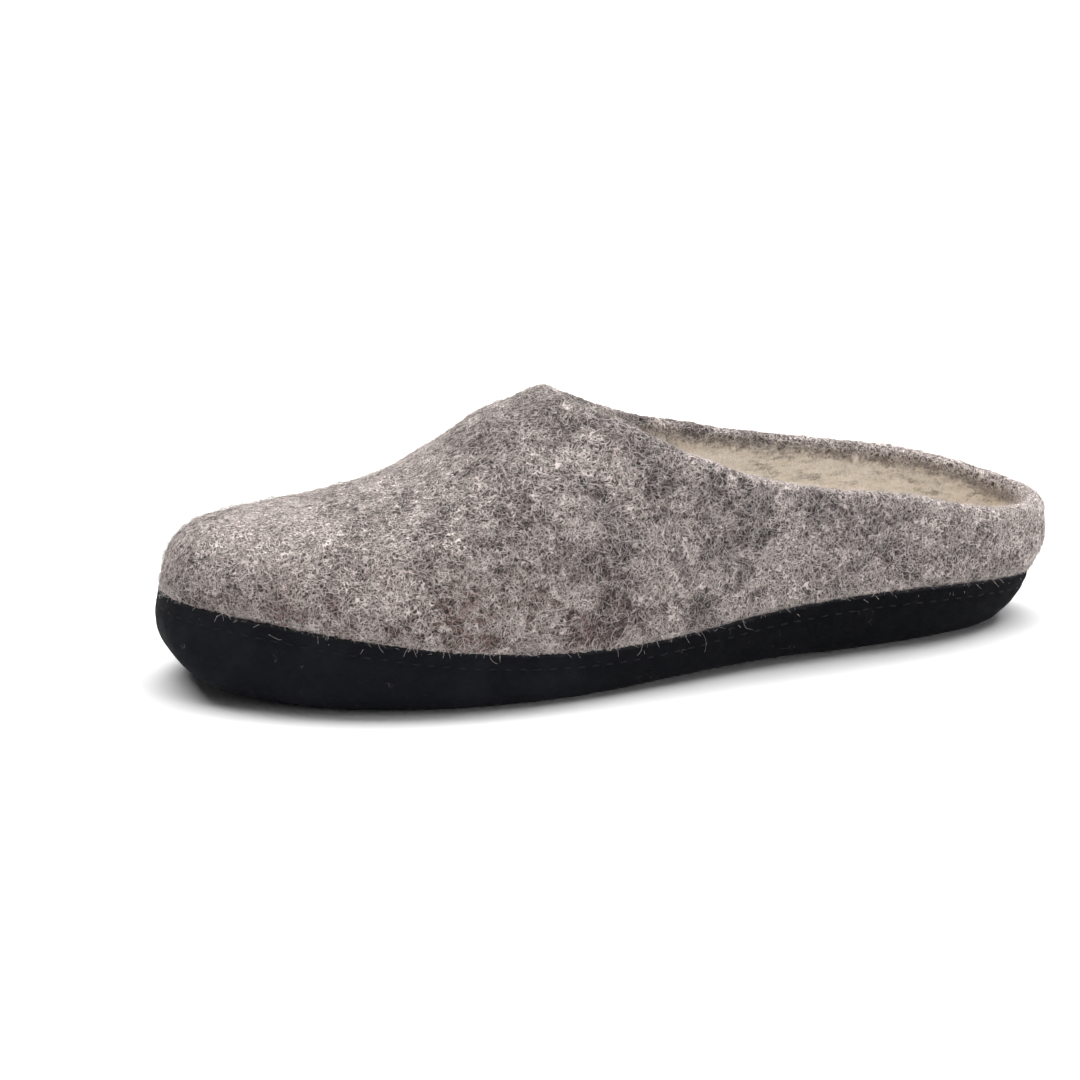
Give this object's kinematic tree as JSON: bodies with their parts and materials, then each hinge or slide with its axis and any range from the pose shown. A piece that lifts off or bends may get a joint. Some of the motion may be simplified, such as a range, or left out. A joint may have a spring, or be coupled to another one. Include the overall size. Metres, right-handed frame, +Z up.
{
  "type": "felt slipper",
  "caption": "Left backless-cut felt slipper with a rounded collar, a low heel wall, a smooth vamp and toe, and a soft suede sole that cups round its foot.",
  "frame": {"origin": "on the floor, under the middle of the bounding box", "axes": "+Y to the toe, +X to the big-toe side of the left foot, +Z up"},
  "size_m": [0.0994, 0.271, 0.0801],
  "materials": {
    "felt": "hairy wet-felted wool, heather grey-brown",
    "suede": "matt napped suede, black",
    "wool": "matt needled wool, cream"
  },
  "bodies": {
    "root": {"upper": "felt", "sole": "suede", "insole": "wool"}
  },
  "joints": []
}
